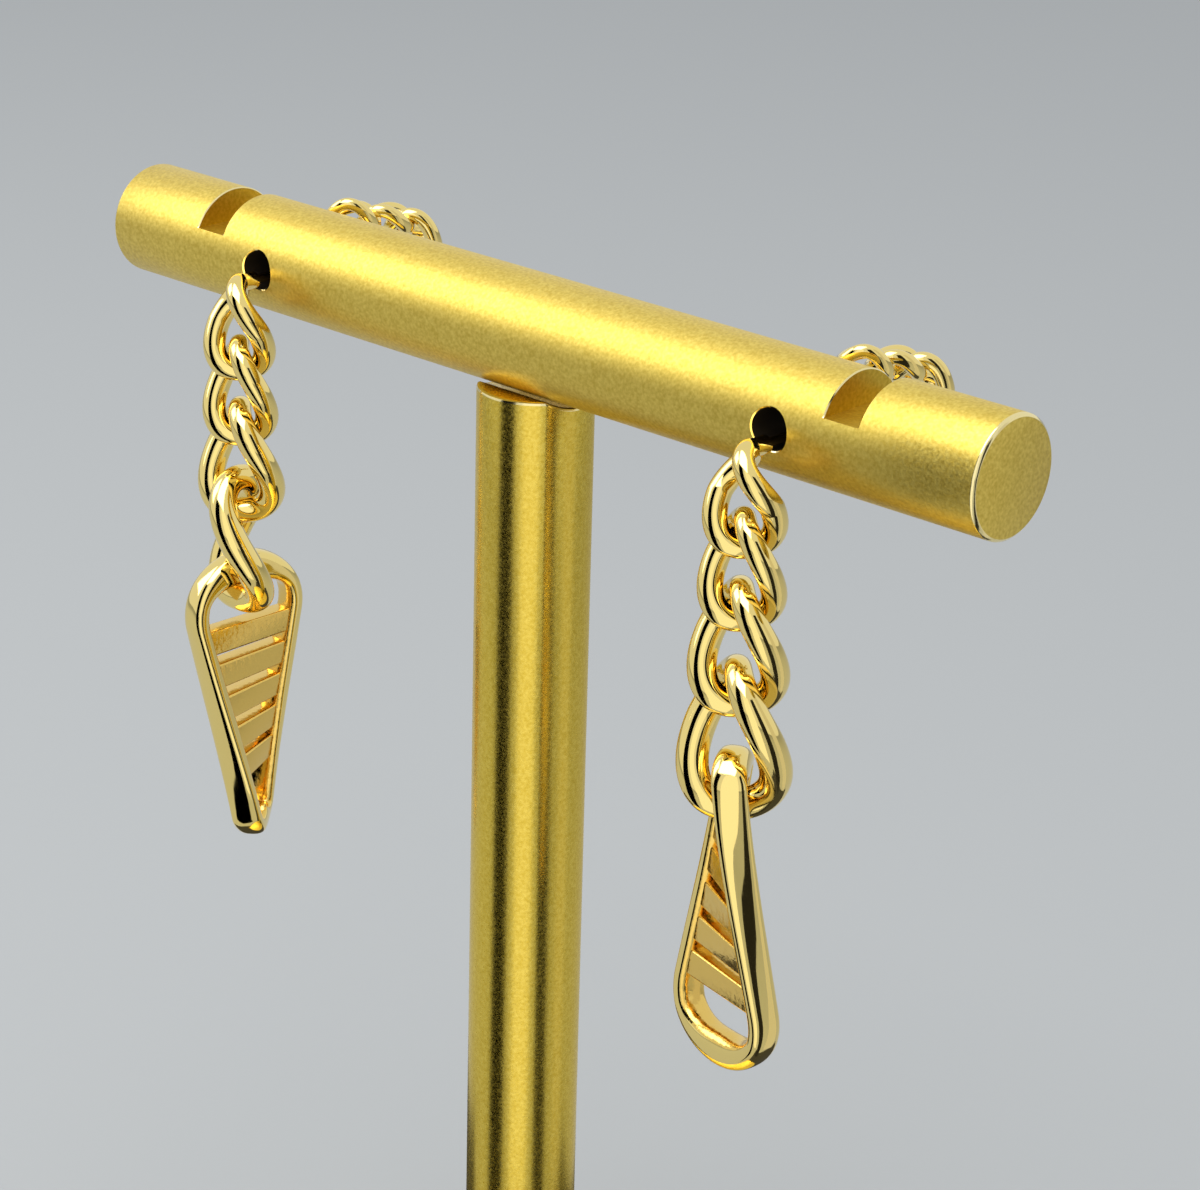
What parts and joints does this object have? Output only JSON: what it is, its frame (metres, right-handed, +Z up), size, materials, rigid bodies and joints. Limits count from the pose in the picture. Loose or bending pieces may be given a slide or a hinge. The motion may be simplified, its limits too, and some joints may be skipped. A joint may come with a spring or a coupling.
{
  "type": "pair of dangle earrings on a display stand",
  "caption": "Pair of curb-chain dangle earrings with long open drop pendants, hung by their ear posts through the crossbar of a T-shaped display stand.",
  "frame": {"origin": "centre of the base disc's underside", "axes": "+Z up, +X along the crossbar towards the right-hand earring, -Y the side the chains hang on, +Y the side with the back rows"},
  "size_m": [0.098, 0.07, 0.12],
  "materials": {
    "stand_base": "satin gold colour, finely blasted",
    "stand_post": "satin gold colour, finely blasted",
    "stand_bar": "satin gold colour, finely blasted",
    "left_post_link": "polished gold colour",
    "left_chain_link_2": "polished gold colour",
    "left_chain_link_3": "polished gold colour",
    "left_chain_link_4": "polished gold colour",
    "left_pendant": "polished gold colour",
    "left_back_row": "polished gold colour",
    "right_post_link": "polished gold colour",
    "right_chain_link_2": "polished gold colour",
    "right_chain_link_3": "polished gold colour",
    "right_chain_link_4": "polished gold colour",
    "right_pendant": "polished gold colour",
    "right_back_row": "polished gold colour"
  },
  "bodies": {
    "stand_and_chains": {"stand_base": "stand_base", "stand_post": "stand_post", "stand_bar": "stand_bar", "left_post_link": "left_post_link", "left_chain_link_2": "left_chain_link_2", "left_chain_link_3": "left_chain_link_3", "left_chain_link_4": "left_chain_link_4", "left_back_row": "left_back_row", "right_post_link": "right_post_link", "right_chain_link_2": "right_chain_link_2", "right_chain_link_3": "right_chain_link_3", "right_chain_link_4": "right_chain_link_4", "right_back_row": "right_back_row"},
    "left_pendant_body": {"left_pendant": "left_pendant"},
    "right_pendant_body": {"right_pendant": "right_pendant"}
  },
  "joints": [
    {"name": "left_pendant_swing", "type": "hinge", "parent": "stand_and_chains", "child": "left_pendant_body", "pos_m": [-0.0296, -0.0071, 0.08464], "axis": [0.9962, 0.0872, 0], "range_deg": [-40, 40]},
    {"name": "right_pendant_swing", "type": "hinge", "parent": "stand_and_chains", "child": "right_pendant_body", "pos_m": [0.0294, -0.0073, 0.08404], "axis": [0.7071, 0.7071, 0], "range_deg": [-40, 40]}
  ]
}
